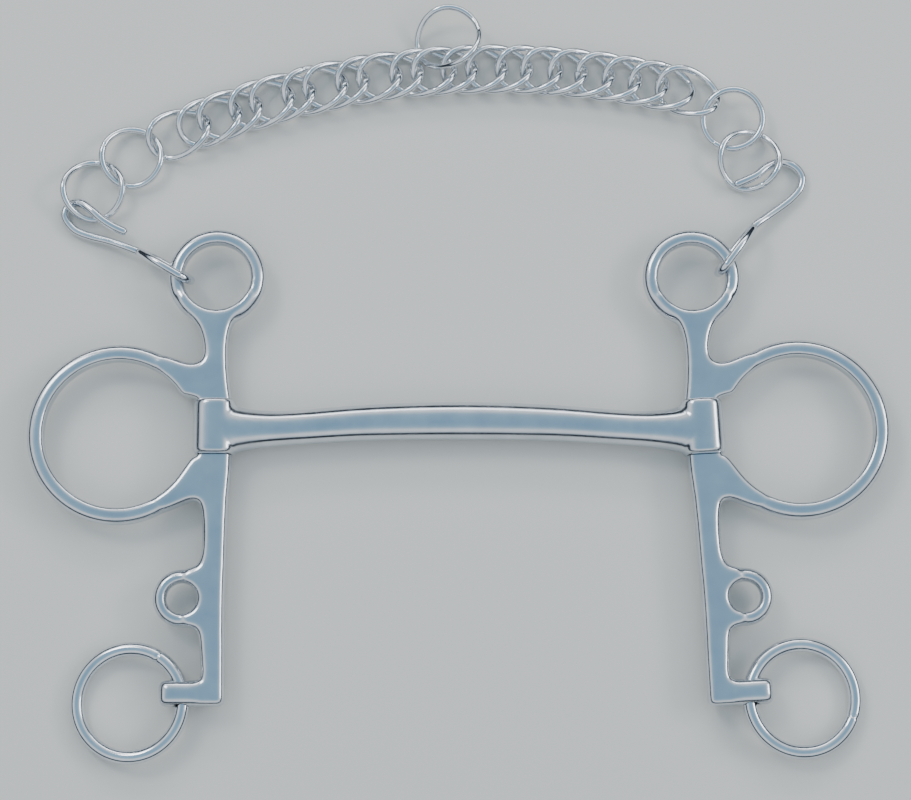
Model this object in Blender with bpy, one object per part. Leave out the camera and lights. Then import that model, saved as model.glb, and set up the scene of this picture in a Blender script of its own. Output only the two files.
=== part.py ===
"""Swivel-cheek Pelham curb bit with its curb chain hooked up, lying flat.

Frame: +Z up out of the surface, +X along the mouthpiece towards the right cheek, +Y from
the shanks towards the eyes. The origin is on the surface, under the middle of the whole
bit. The constants are in millimetres and start from the middle of the line that joins the
two cheek pins, which PINS_BEHIND_MIDDLE places in that frame; MM turns them into metres.
"""

import math

import bmesh
import bpy
from mathutils import Matrix, Vector

MM = 0.001
GAP = 0.3                      # clearance between separate pieces

# Mouthpiece
PINS_BEHIND_MIDDLE = 17.2      # the pins' line lies this far behind the whole bit's middle
PIN_HALF_SPAN = 75.2           # middle of the bit to each cheek pin
PIN_HEIGHT = 6.5
BARREL_RADIUS = 6.4
BARREL_HALF_LENGTH = 8.5
# The right half of the bar: distance from the middle, centre line Y, half height, half depth
BAR_STATIONS = (
    (0.0, 2.1, 5.5, 4.7),
    (16.0, 1.9, 5.4, 4.7),
    (32.0, 1.2, 5.15, 4.8),
    (47.0, 0.1, 5.0, 4.9),
    (57.0, -0.5, 5.0, 5.1),
    (64.0, -0.9, 5.6, 5.5),
    (68.5, -1.0, 6.5, 5.8),
    (71.5, -0.6, 7.6, 6.0),
    (73.5, -0.1, 8.3, 6.1),
)
BAR_SIDES = 12

# Cheeks, in a flat frame whose origin is the middle of the pin: outwards, then towards the eye
EYE_CENTRE, EYE_OUTER, EYE_HOLE = (0.0, 47.6), 15.1, 10.9
EYE_THICKNESS = 5.0
RING_CENTRE, RING_OUTER, RING_INNER = (29.7, -2.1), 27.9, 23.3
RING_THICKNESS = 5.2
SHANK_THICKNESS = 6.4
LOOP_CENTRE, LOOP_OUTER, LOOP_HOLE = (9.2, -52.9), 8.7, 5.2
LOOP_THICKNESS = 4.6
FOOT_MIDDLE = (8.8, -81.9)
FOOT_HALF_HEIGHT, FOOT_RADIUS, FOOT_HOLE = 3.5, 5.2, 3.25
RIGHT_SPLAY = math.radians(3.1)   # the right cheek's foot leans outwards
NECK_OUTLINE = (
    (-5.0, 8.8), (-4.4, 11.5), (-3.7, 17.7), (-3.3, 24.0), (-3.8, 30.4), (-4.7, 33.6),
    (-7.2, 36.3), (-10.6, 39.4), (-12.6, 43.0), (0.0, 47.6), (13.2, 42.0), (10.4, 37.6),
    (7.0, 34.6), (5.0, 31.6), (3.9, 27.6),
    (3.4, 23.5), (4.2, 20.6), (6.4, 19.4), (10.0, 19.6), (14.0, 19.0), (12.0, 8.8),
)
SHANK_OUTLINE = (
    (12.0, -8.8), (14.0, -21.0), (10.0, -22.3), (6.4, -22.2), (4.2, -23.2), (3.2, -26.5),
    (2.8, -32.0), (2.9, -38.0), (3.4, -41.4), (5.0, -43.8), (9.2, -44.4), (9.2, -61.4),
    (5.4, -61.4), (3.7, -63.2), (3.2, -66.0), (2.5, -76.8), (3.2, -78.3), (15.3, -78.3),
    (15.3, -85.3), (-3.9, -85.3),
    (-3.6, -54.0), (-3.9, -38.0), (-4.2, -22.9), (-5.0, -13.5), (-5.0, -8.8),
)
# Where the ring's opening leaves its circle and closes in on the barrel
OPENING_FLARE = ((6.9, -10.0), (4.7, -9.0), (4.7, 9.0), (6.9, 9.7))
FLARE_ANGLE = math.radians(148.0)

# Cheek pins
PIN_RADIUS = 1.9
PIN_REACH = 5.5                # how far each end of a pin enters the cheek

# Rein rings
REIN_RING_RADIUS, REIN_WIRE = 16.4, 2.15
REIN_RING_DROP = 2.6           # its centre lies this far below the middle of the foot
REIN_RING_OFFSET = -0.4        # its wire stands this far out from the hole's axis
REIN_RING_TILT = math.radians(7.45)

# Curb hooks: a closed loop through the eye, and an open hook at the chain's end
HOOK_WIRE = 1.35
LOOP_HALF_DEPTH = 5.05
LOOP_TIP = 5.4                 # the loop's end beyond the middle of the eye's band
LOOP_LEAN = math.radians(15.0)
LEFT_HOOK_ANGLE, LEFT_LOOP_HEADING = math.radians(172.0), math.radians(-30.5)
RIGHT_HOOK_ANGLE, RIGHT_LOOP_HEADING = math.radians(27.0), math.radians(-127.0)
LEFT_KINK, RIGHT_KINK = 14.6, 14.4       # band to kink, along the loop
LEFT_HOOK_ROUTE = (
    (-109.2, 60.1, 2.6), (-115.5, 61.9, 1.9), (-120.0, 63.7, 1.6), (-122.5, 66.0, 1.5),
    (-123.9, 68.7, 1.45), (-123.3, 71.3, 1.45), (-121.1, 72.8, 2.0), (-118.3, 72.3, 3.2),
    (-115.1, 69.8, 4.3), (-111.9, 66.9, 4.6), (-108.1, 64.5, 4.4), (-104.0, 62.7, 4.0),
)
RIGHT_HOOK_ROUTE = (
    (97.1, 68.2, 2.6), (101.3, 71.3, 1.9), (105.1, 74.4, 1.6), (107.7, 77.6, 1.5),
    (108.4, 81.2, 1.45), (106.9, 84.1, 1.45), (104.1, 85.8, 1.6), (100.7, 85.9, 2.6),
    (96.8, 83.8, 3.8), (94.0, 81.4, 4.4), (90.5, 79.6, 4.5), (86.7, 78.0, 4.4),
)

# Curb chain: round end rings, and twisted double links on one long arc
CHAIN_WIRE = 1.1
END_RING_RADIUS = 9.3
FLY_RING_RADIUS, FLY_WIRE = 9.81, 1.0
# Name, centre X and Y, middle height, tilt towards X and Y, and twist (cosine and sine parts)
END_RINGS = (
    ("chain_ring_left_outer", -114.75, 76.77, 3.55, -0.26, -0.07, 2.12, 0.11),
    ("chain_ring_left_inner", -102.93, 87.46, 3.37, -0.56, -0.19, 1.33, -0.41),
    ("chain_ring_right_inner", 86.61, 99.56, 4.22, 1.08, 1.28, -0.32, -0.20),
    ("chain_ring_right_outer", 91.60, 86.54, 3.75, 0.06, 0.12, 1.65, -1.48),
)
FLY_RING = ("lip_strap_ring", -3.31, 125.58, 7.07, 4.16, -0.44, -1.28, -1.99)
LEFT_CONTACT = (-119.5, 72.0)          # where the first ring bears on the left hook
FLY_RING_CONTACT = (-12.0, 117.0, 6.0)  # where it hangs on the chain
LINK_HALF_LENGTH, LINK_HALF_WIDTH, LINK_TWIST = 9.95, 7.1, 2.4
LINK_HEIGHT = 3.5
LINK_COUNT = 20
LINK_PITCH = 8.683
# The links bunch in pairs at the left end: how many steps, and by how much
PAIRING = ((10, 1.8), (4, 0.7), (3, 0.0), (1, 0.3), (1, 0.0))
ARC_CENTRE, ARC_RADIUS = (11.3, -129.6), 245.9
ARC_MIDDLE = math.radians(94.705)
LAST_LINK_TURN = math.radians(-8.0)


# ---------------------------------------------------------------- scene and materials

def clear_scene():
    for obj in list(bpy.data.objects):
        bpy.data.objects.remove(obj, do_unlink=True)


def new_collection(name):
    made = bpy.data.collections.new(name)
    bpy.context.scene.collection.children.link(made)
    return made


def steel(name, colour, roughness):
    made = bpy.data.materials.new(name)
    made.use_nodes = True
    shader = made.node_tree.nodes["Principled BSDF"]
    shader.inputs["Base Color"].default_value = (*colour, 1.0)
    shader.inputs["Metallic"].default_value = 1.0
    shader.inputs["Roughness"].default_value = roughness
    return made


def pivot(name, location, turn=0.0):
    """An empty on a joint's axis, which carries a cheek's pieces."""
    made = bpy.data.objects.new(name, None)
    made.location = Vector(location) * MM
    made.rotation_euler = (0.0, 0.0, turn)
    helpers.objects.link(made)
    return made


# ---------------------------------------------------------------- shapes

def add_object(name, mesh, parent, material):
    """A visible part when it has a material, and otherwise a hidden operand."""
    made = bpy.data.objects.new(name, mesh)
    made.parent = parent
    if material:
        mesh.materials.append(material)
        parts.objects.link(made)
        return made
    made.hide_render = True
    made.display_type = "WIRE"
    helpers.objects.link(made)
    return made


def finish_mesh(name, bm):
    bmesh.ops.recalc_face_normals(bm, faces=bm.faces)
    mesh = bpy.data.meshes.new(name)
    bm.to_mesh(mesh)
    bm.free()
    return mesh


def plate(name, outline, thickness, parent, material=None):
    """A flat outline with straight sides, centred on the parent's plane."""
    curve = bpy.data.curves.new(name, "CURVE")
    curve.dimensions = "2D"
    curve.fill_mode = "BOTH"
    curve.extrude = thickness / 2 * MM
    spline = curve.splines.new("POLY")
    spline.points.add(len(outline) - 1)
    for point, (x, y) in zip(spline.points, outline):
        point.co = (x * MM, y * MM, 0.0, 1.0)
    spline.use_cyclic_u = True
    drawn = bpy.data.objects.new(name + "_outline", curve)
    helpers.objects.link(drawn)
    graph = bpy.context.evaluated_depsgraph_get()
    bm = bmesh.new()
    bm.from_mesh(bpy.data.meshes.new_from_object(drawn.evaluated_get(graph)))
    bmesh.ops.remove_doubles(bm, verts=bm.verts, dist=0.001 * MM)
    bpy.data.objects.remove(drawn, do_unlink=True)
    return add_object(name, finish_mesh(name, bm), parent, material)


def cylinder(name, centre, radius, length, axis, sides, parent, material=None):
    bm = bmesh.new()
    turn = Matrix.Rotation(math.radians(-90), 4, "X") if axis == "Y" else Matrix()
    place = Matrix.Translation(Vector((*centre, 0.0)) * MM) @ turn
    bmesh.ops.create_cone(bm, cap_ends=True, segments=sides, radius1=radius * MM,
                          radius2=radius * MM, depth=length * MM, matrix=place)
    return add_object(name, finish_mesh(name, bm), parent, material)


def box(name, centre, size, parent):
    bm = bmesh.new()
    bmesh.ops.create_cube(bm, size=MM)
    bmesh.ops.scale(bm, vec=size, verts=bm.verts)
    bmesh.ops.translate(bm, vec=Vector((*centre, 0.0)) * MM, verts=bm.verts)
    return add_object(name, finish_mesh(name, bm), parent, None)


def combine(target, operation, *others):
    for other in others:
        boolean = target.modifiers.new(other.name, "BOOLEAN")
        boolean.operation = operation
        boolean.object = other


def wire(name, points, radius, closed, origin, material, parent=None, resolution=1):
    """A round wire along the points, with its origin at the given place."""
    curve = bpy.data.curves.new(name, "CURVE")
    curve.dimensions = "3D"
    curve.bevel_depth = radius * MM
    curve.bevel_resolution = resolution
    curve.use_fill_caps = not closed
    spline = curve.splines.new("POLY")
    spline.points.add(len(points) - 1)
    for point, place in zip(spline.points, points):
        point.co = (*((Vector(place) - Vector(origin)) * MM), 1.0)
    spline.use_cyclic_u = closed
    curve.materials.append(material)
    made = bpy.data.objects.new(name, curve)
    made.location = Vector(origin) * MM
    made.parent = parent
    parts.objects.link(made)
    return made


def smooth(points, steps):
    """A curve through all the points, which leaves each one towards its neighbours' chord."""
    ends = [2 * points[0] - points[1], *points, 2 * points[-1] - points[-2]]
    route = []
    for a, b, c, d in zip(ends, ends[1:], ends[2:], ends[3:]):
        for step in range(steps):
            t = step / steps
            route.append(0.5 * (2 * b + (c - a) * t + (2 * a - 5 * b + 4 * c - d) * t ** 2
                                + (3 * b - a - 3 * c + d) * t ** 3))
    return route + [points[-1]]


def turned(x, y, angle):
    return (x * math.cos(angle) - y * math.sin(angle),
            x * math.sin(angle) + y * math.cos(angle))


# ---------------------------------------------------------------- mouthpiece

def bar_section(x, centre, half_height, half_depth):
    for side in range(BAR_SIDES):
        angle = math.tau * side / BAR_SIDES
        y = centre + half_height * math.cos(angle)
        yield Vector((x, y, half_depth * math.sin(angle))) * MM


def mouthpiece(material):
    """A mullen bar lofted between two upright barrels, each bored for its pin."""
    bm = bmesh.new()
    left = [(-x, *rest) for x, *rest in reversed(BAR_STATIONS[1:])]
    loops = [[bm.verts.new(p) for p in bar_section(*s)] for s in left + list(BAR_STATIONS)]
    bm.faces.new(loops[0])
    bm.faces.new(loops[-1])
    for near, far in zip(loops, loops[1:]):
        for i in range(BAR_SIDES):
            j = (i + 1) % BAR_SIDES
            bm.faces.new((near[i], near[j], far[j], far[i]))
    rest = pivot("mouthpiece_axis", (0.0, 0.0, PIN_HEIGHT))
    bar = add_object("mouthpiece", finish_mesh("mouthpiece", bm), rest, material)
    for name, x in (("left", -PIN_HALF_SPAN), ("right", PIN_HALF_SPAN)):
        barrel = cylinder(f"{name}_barrel", (x, 0.0), BARREL_RADIUS,
                          2 * BARREL_HALF_LENGTH, "Y", 24, rest)
        bore = cylinder(f"{name}_bore", (x, 0.0), PIN_RADIUS + GAP,
                        2 * BARREL_HALF_LENGTH + 2, "Y", 12, rest)
        if name == "right":
            for piece in (barrel, bore):
                piece.parent = right_axis
                piece.data.transform(Matrix.Translation((-x * MM, 0.0, 0.0)))
        combine(bar, "UNION", barrel)
        combine(bar, "DIFFERENCE", bore)


# ---------------------------------------------------------------- cheeks

def cheek(side_name, side, axis, material):
    """One cheek plate: eye, neck, large ring, shank, lip-strap loop and foot, in one piece."""
    def placed(points):
        return [(side * x, y) for x, y in points]

    def round_cutter(name, centre, radius, sides):
        return cylinder(f"{side_name}_{name}", placed([centre])[0], radius, 12.0, "Z", sides, axis)

    def round_plate(name, centre, radius, thickness, sides):
        return cylinder(f"{side_name}_{name}", placed([centre])[0], radius, thickness, "Z",
                        sides, axis)

    body = plate(f"cheek_{side_name}", placed(SHANK_OUTLINE), SHANK_THICKNESS, axis, material)
    foot_x, foot_y = placed([FOOT_MIDDLE])[0]
    combine(
        body, "UNION",
        plate(f"{side_name}_neck", placed(NECK_OUTLINE), SHANK_THICKNESS - 0.2, axis),
        round_plate("ring_blank", RING_CENTRE, RING_OUTER, RING_THICKNESS, 52),
        round_plate("eye_blank", EYE_CENTRE, EYE_OUTER, EYE_THICKNESS, 36),
        round_plate("loop_blank", LOOP_CENTRE, LOOP_OUTER, LOOP_THICKNESS, 22),
        cylinder(f"{side_name}_foot", (foot_x, foot_y), FOOT_RADIUS, 2 * FOOT_HALF_HEIGHT, "Y",
                 16, axis),
    )
    ring_x, ring_y = RING_CENTRE
    steps = 44
    sweep = 2 * FLARE_ANGLE / steps
    arc = [(ring_x + RING_INNER * math.cos(FLARE_ANGLE - sweep * i),
            ring_y + RING_INNER * math.sin(FLARE_ANGLE - sweep * i)) for i in range(steps + 1)]
    slot = box(f"{side_name}_barrel_slot", (0.0, 0.0),
               (2 * BARREL_RADIUS + 2.0, 2 * (BARREL_HALF_LENGTH + GAP), 14.0), axis)
    combine(
        body, "DIFFERENCE",
        plate(f"{side_name}_opening", placed(arc + list(OPENING_FLARE)), 12.0, axis),
        slot,
        round_cutter("eye_hole", EYE_CENTRE, EYE_HOLE, 32),
        round_cutter("loop_hole", LOOP_CENTRE, LOOP_HOLE, 18),
        cylinder(f"{side_name}_foot_hole", (foot_x, foot_y), FOOT_HOLE, 4 * FOOT_HALF_HEIGHT,
                 "Y", 12, axis),
        cylinder(f"{side_name}_pin_socket", (0.0, 0.0), PIN_RADIUS + GAP,
                 2 * (BARREL_HALF_LENGTH + GAP + PIN_REACH + GAP), "Y", 12, axis),
    )
    cylinder(f"cheek_pin_{side_name}", (0.0, 0.0), PIN_RADIUS,
             2 * (BARREL_HALF_LENGTH + GAP + PIN_REACH), "Y", 12, axis, material)


def rein_ring(side_name, side, axis, material):
    """A loose ring through the foot, with its outer side resting on the surface."""
    foot_x, foot_y = side * FOOT_MIDDLE[0], FOOT_MIDDLE[1]
    count = 28
    points = []
    for i in range(count):
        angle = math.tau * i / count
        out = REIN_RING_RADIUS * (1 + math.cos(angle)) + REIN_RING_OFFSET
        points.append((foot_x + side * out * math.cos(REIN_RING_TILT),
                       foot_y - REIN_RING_DROP + REIN_RING_RADIUS * math.sin(angle),
                       -out * math.sin(REIN_RING_TILT)))
    wire(f"rein_ring_{side_name}", points, REIN_WIRE, True, (foot_x, foot_y, 0.0), material,
         axis, 2)


# ---------------------------------------------------------------- curb hooks and chain

def hook(side_name, eye, angle, heading, kink, route, material):
    """One wire: the closed loop round the eye's band, its kink, and the open hook."""
    band = (EYE_OUTER + EYE_HOLE) / 2
    middle = Vector((eye[0] + band * math.cos(angle), eye[1] + band * math.sin(angle),
                     PIN_HEIGHT))
    ahead = Vector((math.cos(heading), math.sin(heading), 0.0))
    across = Vector((0.0, -math.sin(LOOP_LEAN), math.cos(LOOP_LEAN))) * LOOP_HALF_DEPTH
    end = middle + ahead * (LOOP_TIP - LOOP_HALF_DEPTH)
    start = middle - ahead * kink
    bend = Vector((start.x, start.y, 3.6))
    closing = bend + Vector((0.0, -0.35, 2 * HOOK_WIRE + 0.45)) + ahead * 0.6
    tip = []
    for step in range(9):
        turn = math.pi * step / 8
        tip.append(end + across * math.cos(turn) + ahead * LOOP_HALF_DEPTH * math.sin(turn))
    points = [closing, middle - ahead * (kink * 0.5) + across * 0.86, *tip,
              middle - ahead * (kink * 0.5) - across * 0.86, bend]
    points += [Vector(place) for place in route]
    wire(f"curb_hook_{side_name}", smooth(points, 2), HOOK_WIRE, False, middle, material)


def round_ring(place, origin, material, radius=END_RING_RADIUS, gauge=CHAIN_WIRE):
    """A round ring, tilted and a little sprung out of flat where it threads its neighbours."""
    name, x, y, height, tilt_x, tilt_y, twist_cos, twist_sin = place
    points = []
    for i in range(22):
        a = math.tau * i / 22
        rise = (height + tilt_x * math.cos(a) + tilt_y * math.sin(a)
                + twist_cos * math.cos(2 * a) + twist_sin * math.sin(2 * a))
        points.append((x + radius * math.cos(a), y + radius * math.sin(a), rise))
    wire(name, points, gauge, True, origin, material)


def link_places():
    """Middle and heading of each double link, spaced along the chain's arc."""
    bunching = [amount for steps, amount in PAIRING for _ in range(steps)]
    gaps = [LINK_PITCH + amount * (-1) ** i for i, amount in enumerate(bunching)]
    along = -sum(gaps) / 2
    places = []
    for i in range(LINK_COUNT):
        turn = ARC_MIDDLE - along / ARC_RADIUS
        heading = turn - math.pi / 2 + (LAST_LINK_TURN if i == LINK_COUNT - 1 else 0.0)
        places.append((ARC_CENTRE[0] + ARC_RADIUS * math.cos(turn),
                       ARC_CENTRE[1] + ARC_RADIUS * math.sin(turn), heading))
        if i < len(gaps):
            along += gaps[i]
    return places


def double_link(name, place, origin, material):
    """A twisted oval: high at its rear left and front right, so that it threads its neighbours."""
    x, y, heading = place
    points = []
    for i in range(20):
        a = math.tau * i / 20
        along, beside = turned(LINK_HALF_LENGTH * math.cos(a), LINK_HALF_WIDTH * math.sin(a),
                               heading)
        points.append((x + along, y + beside, LINK_HEIGHT - LINK_TWIST * math.sin(2 * a)))
    wire(name, points, CHAIN_WIRE, True, origin, material)


def midway(a, b):
    return ((a[0] + b[0]) / 2, (a[1] + b[1]) / 2, LINK_HEIGHT)


def chain(material):
    """The whole chain from the left hook to the right one; each piece turns about its contact."""
    links = link_places()
    rings = [(x, y) for _, x, y, *_ in END_RINGS]
    first, second, third, last = END_RINGS
    round_ring(first, (*LEFT_CONTACT, LINK_HEIGHT), material)
    round_ring(second, midway(rings[0], rings[1]), material)
    before = rings[1]
    for number, place in enumerate(links, start=1):
        double_link(f"double_link_{number:02d}", place, midway(before, place), material)
        before = place
    round_ring(third, midway(before, rings[2]), material)
    round_ring(last, midway(rings[2], rings[3]), material)
    round_ring(FLY_RING, FLY_RING_CONTACT, material, FLY_RING_RADIUS, FLY_WIRE)


# ---------------------------------------------------------------- assembly

clear_scene()
parts = new_collection("pelham_curb_bit")
helpers = new_collection("cutters")
helpers.hide_render = True

polished = steel("polished_steel", (0.62, 0.66, 0.71), 0.12)
cast = steel("satin_steel", (0.56, 0.61, 0.67), 0.2)
chain_steel = steel("chain_steel", (0.66, 0.70, 0.74), 0.16)

left_axis = pivot("cheek_left_axis", (-PIN_HALF_SPAN, 0.0, PIN_HEIGHT))
right_axis = pivot("cheek_right_axis", (PIN_HALF_SPAN, 0.0, PIN_HEIGHT), RIGHT_SPLAY)

mouthpiece(cast)
for side_name, side, axis in (("left", -1, left_axis), ("right", 1, right_axis)):
    cheek(side_name, side, axis, cast)
    rein_ring(side_name, side, axis, polished)

eye_left = (-PIN_HALF_SPAN, EYE_CENTRE[1])
lean_x, lean_y = turned(*EYE_CENTRE, RIGHT_SPLAY)
eye_right = (PIN_HALF_SPAN + lean_x, lean_y)
hook("left", eye_left, LEFT_HOOK_ANGLE, LEFT_LOOP_HEADING, LEFT_KINK, LEFT_HOOK_ROUTE, polished)
hook("right", eye_right, RIGHT_HOOK_ANGLE, RIGHT_LOOP_HEADING, RIGHT_KINK, RIGHT_HOOK_ROUTE,
     polished)
chain(chain_steel)
for obj in bpy.data.objects:
    if not obj.parent:
        obj.location.y -= PINS_BEHIND_MIDDLE * MM
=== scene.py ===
import math

import bmesh
import bpy
from mathutils import Matrix, Vector


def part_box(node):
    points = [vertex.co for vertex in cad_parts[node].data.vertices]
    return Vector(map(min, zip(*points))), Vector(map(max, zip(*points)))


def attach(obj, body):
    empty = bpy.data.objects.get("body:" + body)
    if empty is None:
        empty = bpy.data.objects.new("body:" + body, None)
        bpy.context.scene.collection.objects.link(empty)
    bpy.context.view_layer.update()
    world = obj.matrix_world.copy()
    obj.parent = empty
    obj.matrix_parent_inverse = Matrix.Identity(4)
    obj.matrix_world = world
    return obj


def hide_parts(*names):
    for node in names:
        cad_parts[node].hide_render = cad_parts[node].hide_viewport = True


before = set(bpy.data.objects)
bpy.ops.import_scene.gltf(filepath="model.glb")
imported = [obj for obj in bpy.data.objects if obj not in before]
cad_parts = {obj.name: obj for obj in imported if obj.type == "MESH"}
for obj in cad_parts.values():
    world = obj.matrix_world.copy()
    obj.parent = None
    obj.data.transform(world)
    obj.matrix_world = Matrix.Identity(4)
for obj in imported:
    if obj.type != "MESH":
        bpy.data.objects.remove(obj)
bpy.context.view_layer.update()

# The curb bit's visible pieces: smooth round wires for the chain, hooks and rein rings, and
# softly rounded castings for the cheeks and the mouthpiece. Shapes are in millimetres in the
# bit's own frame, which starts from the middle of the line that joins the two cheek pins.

MM = 0.001

bar_low, bar_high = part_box("mouthpiece")
ORIGIN = Vector((0.0, (bar_low.y + bar_high.y) / 2, 0.0))
PIN_HEIGHT = (bar_low.z + bar_high.z) / 2 / MM
BARREL_RADIUS = 6.4
BARREL_HALF_LENGTH = 8.5
PIN_HALF_SPAN = -bar_low.x / MM - BARREL_RADIUS
RIGHT_SPLAY = math.radians(3.1)
GAP = 0.3

LEFT_PLACE = (Matrix.Translation(ORIGIN) @ Matrix.Scale(MM, 4)
              @ Matrix.Translation((-PIN_HALF_SPAN, 0.0, PIN_HEIGHT))
              @ Matrix.Scale(-1.0, 4, (1.0, 0.0, 0.0)))
RIGHT_PLACE = (Matrix.Translation(ORIGIN) @ Matrix.Scale(MM, 4)
               @ Matrix.Translation((PIN_HALF_SPAN, 0.0, PIN_HEIGHT))
               @ Matrix.Rotation(RIGHT_SPLAY, 4, "Z"))
BIT_PLACE = Matrix.Translation(ORIGIN) @ Matrix.Scale(MM, 4)


# ---------------------------------------------------------------- materials

def link(tree, source, output, target, socket):
    tree.links.new(source.outputs[output], target.inputs[socket])


def steel(name, dark, light, smoothest, roughest, scratch_scale, scratch_depth):
    """Stainless steel: faint clouding in colour and gloss, over fine handling scratches."""
    material = bpy.data.materials.new(name)
    material.use_nodes = True
    tree = material.node_tree
    shader = tree.nodes["Principled BSDF"]
    shader.inputs["Metallic"].default_value = 1.0
    place = tree.nodes.new("ShaderNodeTexCoord")

    clouds = tree.nodes.new("ShaderNodeTexNoise")
    clouds.inputs["Scale"].default_value = 130.0
    clouds.inputs["Detail"].default_value = 4.0
    link(tree, place, "Object", clouds, "Vector")
    tint = tree.nodes.new("ShaderNodeValToRGB")
    tint.color_ramp.elements[0].position = 0.3
    tint.color_ramp.elements[0].color = (*dark, 1.0)
    tint.color_ramp.elements[1].position = 0.7
    tint.color_ramp.elements[1].color = (*light, 1.0)
    link(tree, clouds, "Fac", tint, "Fac")
    link(tree, tint, "Color", shader, "Base Color")

    smears = tree.nodes.new("ShaderNodeTexNoise")
    smears.inputs["Scale"].default_value = 60.0
    smears.inputs["Detail"].default_value = 6.0
    smears.inputs["Roughness"].default_value = 0.65
    link(tree, place, "Object", smears, "Vector")
    gloss = tree.nodes.new("ShaderNodeMapRange")
    gloss.inputs["From Min"].default_value = 0.3
    gloss.inputs["From Max"].default_value = 0.7
    gloss.inputs["To Min"].default_value = smoothest
    gloss.inputs["To Max"].default_value = roughest
    link(tree, smears, "Fac", gloss, "Value")
    link(tree, gloss, "Result", shader, "Roughness")

    stretch = tree.nodes.new("ShaderNodeMapping")
    stretch.inputs["Rotation"].default_value = (0.3, 0.2, 0.5)
    stretch.inputs["Scale"].default_value = (1.0, 9.0, 5.0)
    link(tree, place, "Object", stretch, "Vector")
    scratches = tree.nodes.new("ShaderNodeTexNoise")
    scratches.inputs["Scale"].default_value = scratch_scale
    scratches.inputs["Detail"].default_value = 3.0
    link(tree, stretch, "Vector", scratches, "Vector")
    bump = tree.nodes.new("ShaderNodeBump")
    bump.inputs["Strength"].default_value = 0.12
    bump.inputs["Distance"].default_value = scratch_depth
    link(tree, scratches, "Fac", bump, "Height")
    link(tree, bump, "Normal", shader, "Normal")
    return material


cast_steel = steel("cast_steel", (0.60, 0.64, 0.69), (0.70, 0.73, 0.77), 0.13, 0.24,
                   260.0, 0.00004)
wire_steel = steel("wire_steel", (0.64, 0.68, 0.73), (0.76, 0.79, 0.83), 0.09, 0.17,
                   320.0, 0.00003)
link_steel = steel("link_steel", (0.66, 0.70, 0.74), (0.80, 0.82, 0.85), 0.08, 0.18,
                   340.0, 0.00003)


# ---------------------------------------------------------------- wires

def smooth_route(points, steps):
    """A curve through all the points, which leaves each one towards its neighbours' chord."""
    ends = [2 * points[0] - points[1], *points, 2 * points[-1] - points[-2]]
    route = []
    for a, b, c, d in zip(ends, ends[1:], ends[2:], ends[3:]):
        for step in range(steps):
            t = step / steps
            route.append(0.5 * (2 * b + (c - a) * t + (2 * a - 5 * b + 4 * c - d) * t ** 2
                                + (3 * b - a - 3 * c + d) * t ** 3))
    return route + [points[-1]]


def wire(name, points, radius, closed, material, seam=None, place=BIT_PLACE):
    """A round wire; a closed one shows the groove of its butt joint, an open one has eased ends."""
    curve = bpy.data.curves.new(name, "CURVE")
    curve.dimensions = "3D"
    curve.bevel_depth = radius * MM
    curve.bevel_resolution = 10
    curve.use_fill_caps = not closed
    spline = curve.splines.new("POLY")
    spline.points.add(len(points) - 1)
    for point, spot in zip(spline.points, points):
        point.co = (*(place @ Vector(spot)), 1.0)
    spline.use_cyclic_u = closed
    if seam is not None:
        for offset, share in ((-1, 0.97), (0, 0.86), (1, 0.97)):
            spline.points[(seam + offset) % len(points)].radius = share
    if not closed:
        for i, share in enumerate((0.62, 0.86, 0.97)):
            spline.points[i].radius = share
            spline.points[-1 - i].radius = share
    drawn = bpy.data.objects.new(name + "_curve", curve)
    bpy.context.scene.collection.objects.link(drawn)
    graph = bpy.context.evaluated_depsgraph_get()
    mesh = bpy.data.meshes.new_from_object(drawn.evaluated_get(graph))
    bpy.data.objects.remove(drawn, do_unlink=True)
    bpy.data.curves.remove(curve)
    return show(name, mesh, material)


def show(name, mesh, material):
    """Puts the mesh in the scene, in the place of the CAD node of that name."""
    mesh.materials.clear()
    mesh.materials.append(material)
    mesh.polygons.foreach_set("use_smooth", [True] * len(mesh.polygons))
    piece = bpy.data.objects.new(name + "_look", mesh)
    bpy.context.scene.collection.objects.link(piece)
    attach(piece, name)
    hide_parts(name)
    return piece


# ---------------------------------------------------------------- curb chain

CHAIN_WIRE = 1.1
LINK_COUNT = 20
LINK_HEIGHT = 3.5
LINK_HALF_LENGTH, LINK_HALF_WIDTH, LINK_TWIST = 9.95, 7.1, 2.4
LAST_LINK_TURN = math.radians(-8.0)
ARC_CENTRE = (11.3, -129.6)
GOLDEN = 2.39996
# Node, ring radius, wire, middle height, tilt towards X and Y, and twist
ROUND_RINGS = (
    ("chain_ring_left_outer", 9.3, 1.1, 3.55, -0.26, -0.07, 2.12, 0.11),
    ("chain_ring_left_inner", 9.3, 1.1, 3.37, -0.56, -0.19, 1.33, -0.41),
    ("chain_ring_right_inner", 9.3, 1.1, 4.22, 1.08, 1.28, -0.32, -0.20),
    ("chain_ring_right_outer", 9.3, 1.1, 3.75, 0.06, 0.12, 1.65, -1.48),
    ("lip_strap_ring", 9.81, 0.97, 7.07, 4.16, -0.44, -1.28, -1.99),
)


def middle_of(node):
    """The middle of a CAD node's box, in the bit's own millimetres."""
    low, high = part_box(node)
    return ((low + high) / 2 - ORIGIN) / MM


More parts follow.
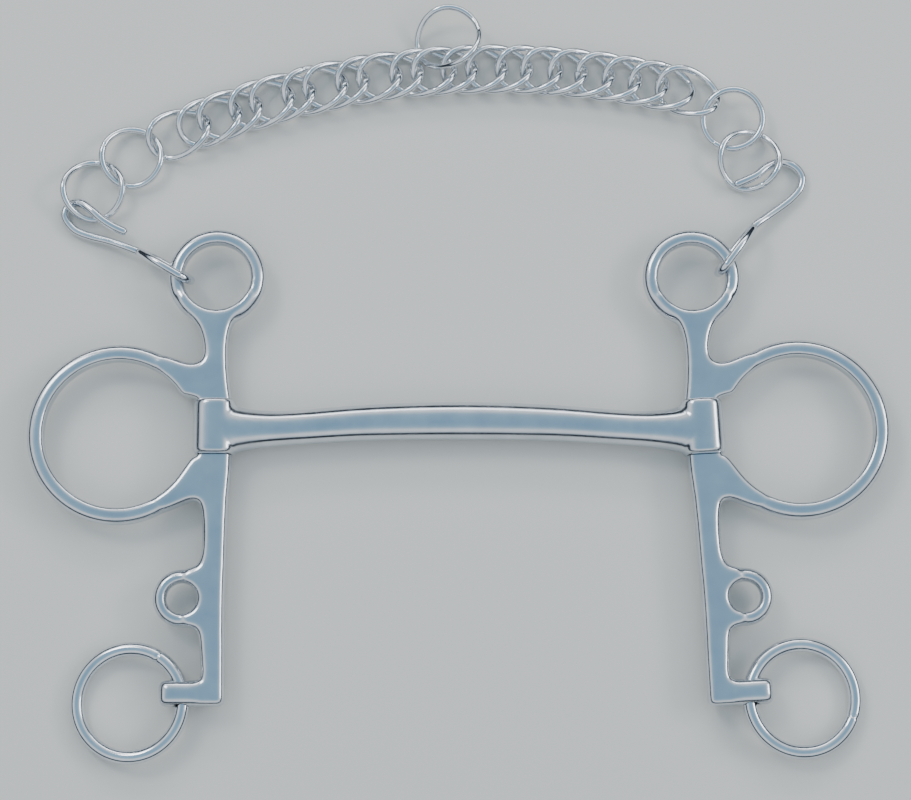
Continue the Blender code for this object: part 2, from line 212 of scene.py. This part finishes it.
for number in range(1, LINK_COUNT + 1):
    node = f"double_link_{number:02d}"
    middle = middle_of(node)
    heading = math.atan2(middle.y - ARC_CENTRE[1], middle.x - ARC_CENTRE[0]) - math.pi / 2
    if number == LINK_COUNT:
        heading += LAST_LINK_TURN
    turn = Matrix.Rotation(heading, 4, "Z")
    points = []
    for i in range(150):
        a = math.tau * i / 150
        flat = turn @ Vector((LINK_HALF_LENGTH * math.cos(a), LINK_HALF_WIDTH * math.sin(a), 0))
        points.append((middle.x + flat.x, middle.y + flat.y,
                       LINK_HEIGHT - LINK_TWIST * math.sin(2 * a)))
    wire(node, points, CHAIN_WIRE, True, link_steel,
         int(150 * (number * GOLDEN / math.tau)) % 150)

for order, (node, radius, gauge, height, tilt_x, tilt_y, twist_cos, twist_sin) in enumerate(
        ROUND_RINGS):
    middle = middle_of(node)
    points = []
    for i in range(160):
        a = math.tau * i / 160
        rise = (height + tilt_x * math.cos(a) + tilt_y * math.sin(a)
                + twist_cos * math.cos(2 * a) + twist_sin * math.sin(2 * a))
        points.append((middle.x + radius * math.cos(a), middle.y + radius * math.sin(a), rise))
    wire(node, points, gauge, True, link_steel, 40 + 31 * order)


# ---------------------------------------------------------------- curb hooks and rein rings

EYE_CENTRE, EYE_OUTER, EYE_HOLE = (0.0, 47.6), 15.1, 10.9
HOOK_WIRE = 1.35
STRAND_GAP = 0.45
LOOP_HALF_DEPTH = 5.05
LOOP_TIP = 5.4
LOOP_LEAN = math.radians(15.0)
# Side, angle of the hook round its eye, heading and length of its closed loop, and its route
HOOKS = (
    ("left", LEFT_PLACE, 172.0, -30.5, 14.6, (
        (-109.2, 60.1, 2.6), (-115.5, 61.9, 1.9), (-120.0, 63.7, 1.6), (-122.5, 66.0, 1.5),
        (-123.9, 68.7, 1.45), (-123.3, 71.3, 1.45), (-121.1, 72.8, 2.0), (-118.3, 72.3, 3.2),
        (-115.1, 69.8, 4.3), (-111.9, 66.9, 4.6), (-108.1, 64.5, 4.4), (-104.0, 62.7, 4.0))),
    ("right", RIGHT_PLACE, 27.0, -127.0, 14.4, (
        (97.1, 68.2, 2.6), (101.3, 71.3, 1.9), (105.1, 74.4, 1.6), (107.7, 77.6, 1.5),
        (108.4, 81.2, 1.45), (106.9, 84.1, 1.45), (104.1, 85.8, 1.6), (100.7, 85.9, 2.6),
        (96.8, 83.8, 3.8), (94.0, 81.4, 4.4), (90.5, 79.6, 4.5), (86.7, 78.0, 4.4))),
)
for side_name, place, angle, heading, kink, route in HOOKS:
    eye = BIT_PLACE.inverted() @ place @ Vector((*EYE_CENTRE, 0.0))
    band = (EYE_OUTER + EYE_HOLE) / 2
    around, along = math.radians(angle), math.radians(heading)
    middle = eye + Vector((math.cos(around), math.sin(around), 0.0)) * band
    ahead = Vector((math.cos(along), math.sin(along), 0.0))
    across = Vector((0.0, -math.sin(LOOP_LEAN), math.cos(LOOP_LEAN))) * LOOP_HALF_DEPTH
    end = middle + ahead * (LOOP_TIP - LOOP_HALF_DEPTH)
    start = middle - ahead * kink
    bend = Vector((start.x, start.y, 3.6))
    closing = bend + Vector((0.0, -0.35, 2 * HOOK_WIRE + STRAND_GAP)) + ahead * 0.6
    tip = []
    for step in range(9):
        turn = math.pi * step / 8
        tip.append(end + across * math.cos(turn) + ahead * LOOP_HALF_DEPTH * math.sin(turn))
    points = [closing, middle - ahead * (kink * 0.5) + across * 0.86, *tip,
              middle - ahead * (kink * 0.5) - across * 0.86, bend]
    points += [Vector(spot) for spot in route]
    wire(f"curb_hook_{side_name}", smooth_route(points, 12), HOOK_WIRE, False,
         wire_steel)

FOOT_MIDDLE = (8.8, -81.9)
REIN_RING_RADIUS, REIN_WIRE = 16.4, 2.15
REIN_RING_DROP, REIN_RING_OFFSET = 2.6, -0.4
REIN_RING_TILT = math.radians(7.45)
for side_name, place, seam in (("left", LEFT_PLACE, 95), ("right", RIGHT_PLACE, 262)):
    points = []
    for i in range(280):
        a = math.tau * i / 280
        out = REIN_RING_RADIUS * (1 + math.cos(a)) + REIN_RING_OFFSET
        points.append((FOOT_MIDDLE[0] + out * math.cos(REIN_RING_TILT),
                       FOOT_MIDDLE[1] - REIN_RING_DROP + REIN_RING_RADIUS * math.sin(a),
                       -out * math.sin(REIN_RING_TILT)))
    wire(f"rein_ring_{side_name}", points, REIN_WIRE, True, wire_steel,
         seam, place)


# ---------------------------------------------------------------- castings

def solid(name, bm):
    bmesh.ops.recalc_face_normals(bm, faces=bm.faces)
    mesh = bpy.data.meshes.new(name)
    bm.to_mesh(mesh)
    bm.free()
    made = bpy.data.objects.new(name, mesh)
    bpy.context.scene.collection.objects.link(made)
    return made


def eased(outline, reach):
    """The outline with each corner turned into a curve; a third value sets a corner's own reach."""
    eased_points = []
    count = len(outline)
    for i, corner in enumerate(outline):
        here = Vector(corner[:2])
        before, after = Vector(outline[i - 1][:2]), Vector(outline[(i + 1) % count][:2])
        own = corner[2] if len(corner) > 2 else reach
        start = here + (before - here) * min(0.5, own / (before - here).length)
        finish = here + (after - here) * min(0.5, own / (after - here).length)
        for step in range(7):
            t = step / 6
            eased_points.append(start * (1 - t) ** 2 + here * 2 * t * (1 - t) + finish * t * t)
    return eased_points


def plate(name, outline, thickness, edge):
    """A flat outline whose upper and lower edges are rounded by the given radius."""
    curve = bpy.data.curves.new(name, "CURVE")
    curve.dimensions = "2D"
    curve.fill_mode = "BOTH"
    curve.extrude = thickness / 2 - edge
    curve.bevel_depth = edge
    curve.bevel_resolution = 3
    curve.offset = -edge
    spline = curve.splines.new("POLY")
    spline.points.add(len(outline) - 1)
    for point, (x, y) in zip(spline.points, outline):
        point.co = (x, y, 0.0, 1.0)
    spline.use_cyclic_u = True
    drawn = bpy.data.objects.new(name + "_outline", curve)
    bpy.context.scene.collection.objects.link(drawn)
    graph = bpy.context.evaluated_depsgraph_get()
    bm = bmesh.new()
    bm.from_mesh(bpy.data.meshes.new_from_object(drawn.evaluated_get(graph)))
    bmesh.ops.remove_doubles(bm, verts=bm.verts, dist=0.002)
    bpy.data.objects.remove(drawn, do_unlink=True)
    return solid(name, bm)


def disc(name, centre, radius, thickness):
    outline = [Vector((centre[0] + radius * math.cos(math.tau * i / 96),
                       centre[1] + radius * math.sin(math.tau * i / 96))) for i in range(96)]
    return plate(name, outline, thickness, 2.3)


def rod(name, centre, radius, length, axis, sides):
    bm = bmesh.new()
    turn = Matrix.Rotation(math.radians(-90), 4, "X") if axis == "Y" else Matrix()
    bmesh.ops.create_cone(bm, cap_ends=True, segments=sides, radius1=radius, radius2=radius,
                          depth=length, matrix=Matrix.Translation((*centre, 0.0)) @ turn)
    return solid(name, bm)


def block(name, centre, size):
    bm = bmesh.new()
    bmesh.ops.create_cube(bm, size=1.0)
    bmesh.ops.scale(bm, vec=size, verts=bm.verts)
    bmesh.ops.translate(bm, vec=(*centre, 0.0), verts=bm.verts)
    return solid(name, bm)


def evaluated(obj):
    graph = bpy.context.evaluated_depsgraph_get()
    return bpy.data.meshes.new_from_object(obj.evaluated_get(graph))


def cut(obj, cutters):
    for cutter in cutters:
        boolean = obj.modifiers.new(cutter.name, "BOOLEAN")
        boolean.operation = "DIFFERENCE"
        boolean.solver = "EXACT"
        boolean.object = cutter
    mesh = evaluated(obj)
    obj.modifiers.clear()
    obj.data = mesh


def cast(name, solids, cutters, faces, voxel, rounds, fullness, place, material):
    """The solids run together into one casting with crowned sides, as cast and buffed steel.

    Cutters open it before it is buffed, which rounds their edges too, and faces are machined
    afterwards, so they stay crisp. Fullness gives back what the buffing takes off, in mm.
    """
    for one in solids:
        cut(one, cutters)
    bm = bmesh.new()
    for one in solids:
        bm.from_mesh(one.data)
    whole = solid(name + "_blank", bm)
    remesh = whole.modifiers.new("cast", "REMESH")
    remesh.mode = "VOXEL"
    remesh.voxel_size = voxel
    soften = whole.modifiers.new("buff", "SMOOTH")
    soften.factor = 0.5
    soften.iterations = rounds
    swell = whole.modifiers.new("fullness", "DISPLACE")
    swell.strength = fullness
    swell.mid_level = 0.0
    whole.data = evaluated(whole)
    whole.modifiers.clear()
    cut(whole, faces)
    mesh = whole.data.copy()
    mesh.transform(place)
    if place.determinant() < 0:
        mesh.flip_normals()
    for one in [whole, *solids]:
        bpy.data.objects.remove(one, do_unlink=True)
    made = show(name, mesh, material)
    made.data.set_sharp_from_angle(angle=math.radians(40.0))
    return made


RING_CENTRE, RING_OUTER, RING_INNER, RING_THICKNESS = (29.7, -2.1), 27.9, 23.3, 5.8
EYE_THICKNESS = 4.9
SHANK_THICKNESS = 6.4
LOOP_CENTRE, LOOP_OUTER, LOOP_HOLE, LOOP_THICKNESS = (9.2, -52.9), 8.7, 5.2, 5.1
FOOT_HALF_HEIGHT, FOOT_HOLE, FOOT_THICKNESS = 3.5, 2.9, 7.4
FOOT_OUTLINE = ((2.6, -78.2), (15.3, -78.2), (15.3, -85.5), (2.6, -85.5))
PIN_RADIUS, PIN_REACH = 1.9, 5.5
NECK_OUTLINE = (
    (-5.2, 2.0), (-5.0, 8.8), (-4.4, 11.5), (-3.7, 17.7), (-3.4, 24.0), (-3.7, 28.4),
    (-4.6, 32.6), (-6.8, 35.8), (-10.4, 38.9), (-12.8, 42.75), (0.0, 48.0), (13.4, 41.8),
    (10.5, 37.0), (6.9, 34.1), (4.9, 31.0), (3.8, 27.0), (3.4, 23.4), (4.3, 20.9),
    (6.6, 19.7), (10.0, 20.3), (14.0, 21.9), (18.0, 22.8), (20.0, 20.0), (14.0, 12.0),
    (12.0, 2.0),
)
SHANK_OUTLINE = (
    (12.0, -2.0), (14.0, -14.0), (19.0, -22.0), (17.0, -26.6), (12.0, -24.8), (8.0, -22.9),
    (5.4, -22.3), (3.9, -23.5), (3.2, -26.5), (2.8, -32.0), (2.9, -38.0), (3.4, -41.2),
    (4.9, -43.6), (9.2, -44.3), (9.2, -61.6), (5.4, -61.5), (3.7, -63.2), (3.3, -66.5),
    (2.5, -76.6, 1.4), (3.3, -78.3, 1.0), (15.3, -78.3, 1.2), (15.3, -85.4, 1.2),
    (-4.0, -85.4, 1.2), (-3.6, -54.0), (-3.9, -38.0), (-4.2, -22.9), (-5.0, -13.5),
    (-5.2, -2.0),
)
OPENING_FLARE = ((6.9, -10.0), (4.7, -9.0), (4.7, 9.0), (6.9, 9.7))
FLARE_ANGLE = math.radians(148.0)


def cheek(side_name, place):
    sweep = 2 * FLARE_ANGLE / 90
    opening = [(RING_CENTRE[0] + RING_INNER * math.cos(FLARE_ANGLE - sweep * i),
                RING_CENTRE[1] + RING_INNER * math.sin(FLARE_ANGLE - sweep * i))
               for i in range(91)]
    opening += OPENING_FLARE
    solids = [
        plate("neck", eased(NECK_OUTLINE, 4.0), SHANK_THICKNESS - 0.2, 1.5),
        plate("shank", eased(SHANK_OUTLINE, 4.0), SHANK_THICKNESS, 1.5),
        plate("foot", eased(FOOT_OUTLINE, 1.3), FOOT_THICKNESS, 2.6),
        disc("ring", RING_CENTRE, RING_OUTER, RING_THICKNESS),
        disc("eye", EYE_CENTRE, EYE_OUTER, EYE_THICKNESS),
        disc("loop", LOOP_CENTRE, LOOP_OUTER, LOOP_THICKNESS),
    ]
    cutters = [
        plate("opening", [Vector(p) for p in opening], 14.0, 0.01),
        rod("eye_hole", EYE_CENTRE, EYE_HOLE, 14.0, "Z", 96),
        rod("loop_hole", LOOP_CENTRE, LOOP_HOLE, 14.0, "Z", 64),
    ]
    faces = [
        block("slot", (0.0, 0.0), (2 * BARREL_RADIUS + 6.0, 2 * (BARREL_HALF_LENGTH + GAP),
                                   14.0)),
        rod("foot_hole", FOOT_MIDDLE, FOOT_HOLE, 4 * FOOT_HALF_HEIGHT, "Y", 48),
        rod("pin_socket", (0.0, 0.0), PIN_RADIUS + GAP,
            2 * (BARREL_HALF_LENGTH + GAP + PIN_REACH + GAP), "Y", 24),
    ]
    cast(f"cheek_{side_name}", solids, cutters, faces, 0.34, 90, 0.40, place, cast_steel)
    for tool in [*cutters, *faces]:
        bpy.data.objects.remove(tool, do_unlink=True)


cheek("left", LEFT_PLACE)
cheek("right", RIGHT_PLACE)

# Distance from the middle, centre line Y, half height, half depth
BAR_STATIONS = (
    (0.0, 2.2, 5.7, 4.7), (16.0, 2.0, 5.6, 4.7), (32.0, 1.4, 5.4, 4.8), (47.0, 0.3, 5.25, 4.9),
    (57.0, -0.3, 5.4, 5.1), (64.0, -0.5, 6.1, 5.5), (68.5, -0.5, 7.0, 5.9),
    (71.5, -0.2, 7.9, 6.2), (74.0, 0.0, 8.4, 6.3),
)


def bar():
    """The mullen bar: an oval section, a little flattened above and below."""
    stations = [Vector((-x, y, h, d)) for x, y, h, d in reversed(BAR_STATIONS[1:])]
    stations += [Vector(s) for s in BAR_STATIONS]
    bm = bmesh.new()
    loops = []
    for x, y, h, d in smooth_route(stations, 8):
        loop = []
        for j in range(48):
            b = math.tau * j / 48
            c, s = math.cos(b), math.sin(b)
            loop.append(bm.verts.new((x, y + h * math.copysign(abs(c) ** 0.86, c),
                                      d * math.copysign(abs(s) ** 0.92, s))))
        loops.append(loop)
    bm.faces.new(loops[0])
    bm.faces.new(loops[-1])
    for near, far in zip(loops, loops[1:]):
        for j in range(48):
            k = (j + 1) % 48
            bm.faces.new((near[j], near[k], far[k], far[j]))
    return solid("bar", bm)


def barrel(name, middle):
    """The bar's end: a squarish pillar along Y, with rounded rims."""
    rim, steps, fullness = 1.2, 6, 0.72
    levels = []
    for k in range(steps + 1):
        a = math.pi / 2 * k / steps
        levels.append((BARREL_HALF_LENGTH - rim + rim * math.cos(a), rim * (1 - math.sin(a))))
    levels = [(-y, inset) for y, inset in levels] + levels[::-1]
    bm = bmesh.new()
    loops = []
    for y, inset in levels:
        loop = []
        for j in range(64):
            b = math.tau * j / 64
            c, s = math.cos(b), math.sin(b)
            reach = BARREL_RADIUS - inset
            loop.append(bm.verts.new((middle + reach * math.copysign(abs(c) ** fullness, c), y,
                                      reach * math.copysign(abs(s) ** fullness, s))))
        loops.append(loop)
    bm.faces.new(loops[0])
    bm.faces.new(loops[-1])
    for near, far in zip(loops, loops[1:]):
        for j in range(64):
            k = (j + 1) % 64
            bm.faces.new((near[j], near[k], far[k], far[j]))
    return solid(name, bm)


barrels = [barrel("left_barrel", -PIN_HALF_SPAN), barrel("right_barrel", PIN_HALF_SPAN)]
bores = [rod("left_bore", (-PIN_HALF_SPAN, 0.0), PIN_RADIUS + GAP, 30.0, "Y", 24),
         rod("right_bore", (PIN_HALF_SPAN, 0.0), PIN_RADIUS + GAP, 30.0, "Y", 24)]
splay = (Matrix.Translation((PIN_HALF_SPAN, 0.0, 0.0)) @ Matrix.Rotation(RIGHT_SPLAY, 4, "Z")
         @ Matrix.Translation((-PIN_HALF_SPAN, 0.0, 0.0)))
barrels[1].data.transform(splay)
bores[1].data.transform(splay)
cast("mouthpiece", [bar(), *barrels], [], bores, 0.38, 24, 0.15,
     BIT_PLACE @ Matrix.Translation((0.0, 0.0, PIN_HEIGHT)), cast_steel)
for bore in bores:
    bpy.data.objects.remove(bore, do_unlink=True)

for node in ("cheek_pin_left", "cheek_pin_right"):
    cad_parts[node].data.materials.clear()
    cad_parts[node].data.materials.append(wire_steel)


# ---------------------------------------------------------------- floor, light and camera

def floor():
    bpy.ops.mesh.primitive_plane_add(size=6.0, location=(0.0, 0.0, 0.0))
    made = bpy.context.object
    made.name = "floor"
    material = bpy.data.materials.new("pale_floor")
    material.use_nodes = True
    shader = material.node_tree.nodes["Principled BSDF"]
    shader.inputs["Base Color"].default_value = (0.80, 0.77, 0.72, 1.0)
    shader.inputs["Roughness"].default_value = 0.85
    made.data.materials.append(material)


def sky():
    """A studio sky: pale blue overhead, white round the sides, and dark at the horizon."""
    world = bpy.data.worlds.new("studio")
    bpy.context.scene.world = world
    world.use_nodes = True
    tree = world.node_tree
    background = tree.nodes["Background"]
    place = tree.nodes.new("ShaderNodeTexCoord")
    parts = tree.nodes.new("ShaderNodeSeparateXYZ")
    link(tree, place, "Generated", parts, "Vector")
    ramp = tree.nodes.new("ShaderNodeValToRGB")
    stops = ((0.0, (0.01, 0.012, 0.016)), (0.32, (0.03, 0.04, 0.055)),
             (0.44, (0.70, 0.80, 0.88)), (0.70, (0.96, 0.98, 1.0)),
             (0.88, (0.36, 0.54, 0.68)), (1.0, (0.26, 0.44, 0.60)))
    ramp.color_ramp.elements[0].position = stops[0][0]
    ramp.color_ramp.elements[0].color = (*stops[0][1], 1.0)
    ramp.color_ramp.elements[1].position = stops[-1][0]
    ramp.color_ramp.elements[1].color = (*stops[-1][1], 1.0)
    for position, colour in stops[1:-1]:
        ramp.color_ramp.elements.new(position).color = (*colour, 1.0)
    link(tree, parts, "Z", ramp, "Fac")
    link(tree, ramp, "Color", background, "Color")
    background.inputs["Strength"].default_value = 1.15


def softbox(name, place, aim, width, height, power, colour):
    light = bpy.data.lights.new(name, "AREA")
    light.shape = "RECTANGLE"
    light.size = width
    light.size_y = height
    light.energy = power
    light.color = colour
    made = bpy.data.objects.new(name, light)
    made.location = place
    made.rotation_euler = (Vector(aim) - Vector(place)).to_track_quat("-Z", "Y").to_euler()
    bpy.context.scene.collection.objects.link(made)


floor()
sky()
softbox("key", (-0.9, 0.9, 1.4), (0.0, 0.0, 0.0), 0.5, 0.5, 6.0, (1.0, 0.99, 0.97))
softbox("side", (1.3, 0.2, 0.9), (0.0, 0.0, 0.0), 0.8, 0.35, 5.0, (0.97, 0.98, 1.0))
softbox("strip", (0.0, 1.2, 0.75), (0.0, 0.0, 0.0), 1.6, 0.25, 4.0, (1.0, 1.0, 1.0))

camera = bpy.data.cameras.new("camera")
camera.sensor_width = 36.0
camera.lens = 113.4
camera.clip_start = 0.05
viewer = bpy.data.objects.new("camera", camera)
viewer.location = (-0.00096, ORIGIN.y - 0.1604, 0.8769)
viewer.rotation_euler = (math.radians(11.0), 0.0, 0.0)
bpy.context.scene.collection.objects.link(viewer)
bpy.context.scene.camera = viewer
